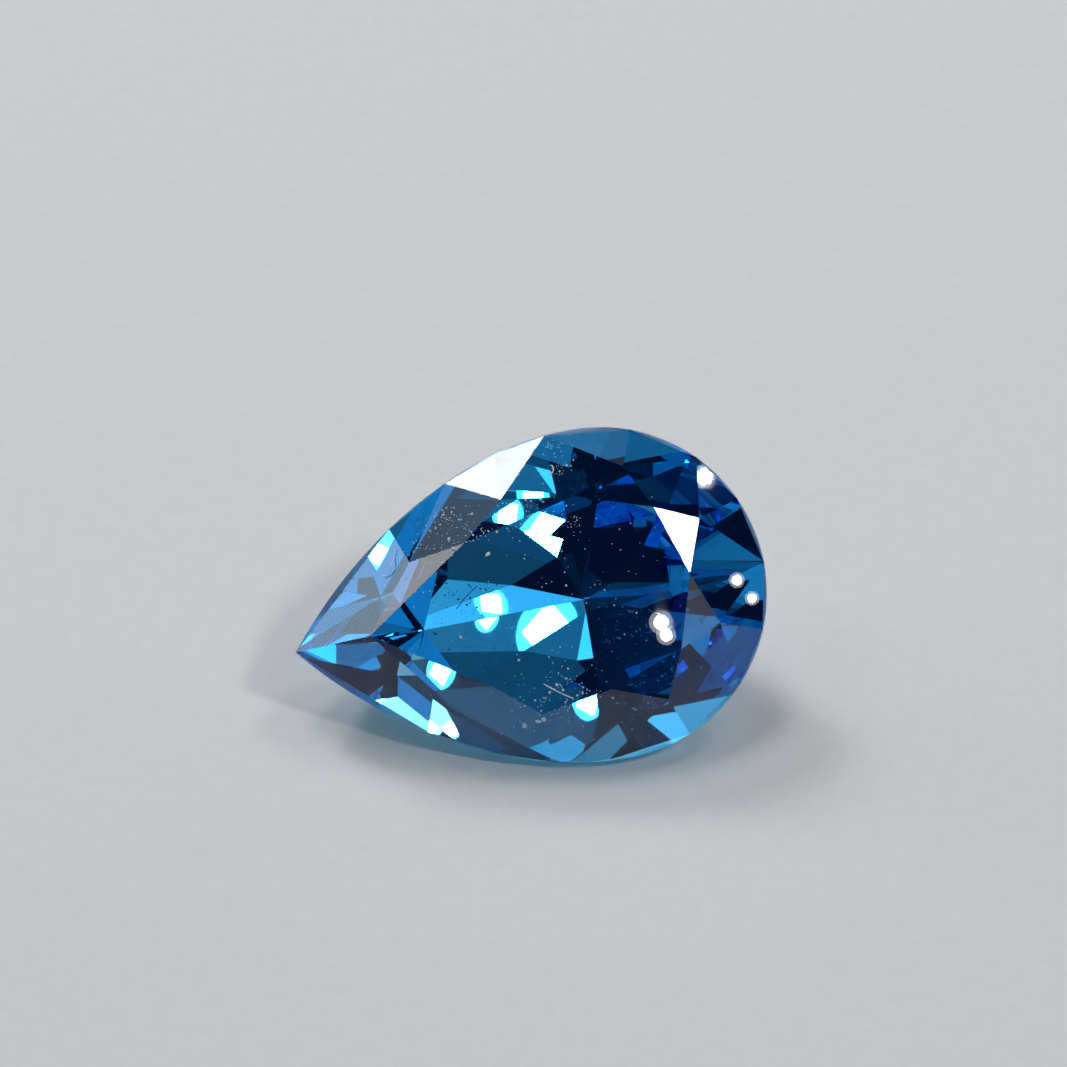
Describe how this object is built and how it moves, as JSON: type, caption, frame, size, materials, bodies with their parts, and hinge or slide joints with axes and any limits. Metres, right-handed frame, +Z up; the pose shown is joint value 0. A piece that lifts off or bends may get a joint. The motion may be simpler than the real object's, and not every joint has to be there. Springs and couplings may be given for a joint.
{
  "type": "pear-cut topaz gemstone",
  "caption": "Loose pear-cut blue topaz with a faceted crown, thin girdle and keeled pavilion, lying on one flat pavilion facet as a cut gem or jewellery stone.",
  "frame": {"origin": "under the middle of the stone's box, on the surface that it lies on", "axes": "+Z up from the surface, +X along the stone from its point to its round head, and the table leans toward -Y"},
  "size_m": [0.014, 0.0078, 0.0071],
  "materials": {
    "topaz": "polished, see-through blue"
  },
  "bodies": {
    "root": {"topaz": "topaz"}
  },
  "joints": []
}
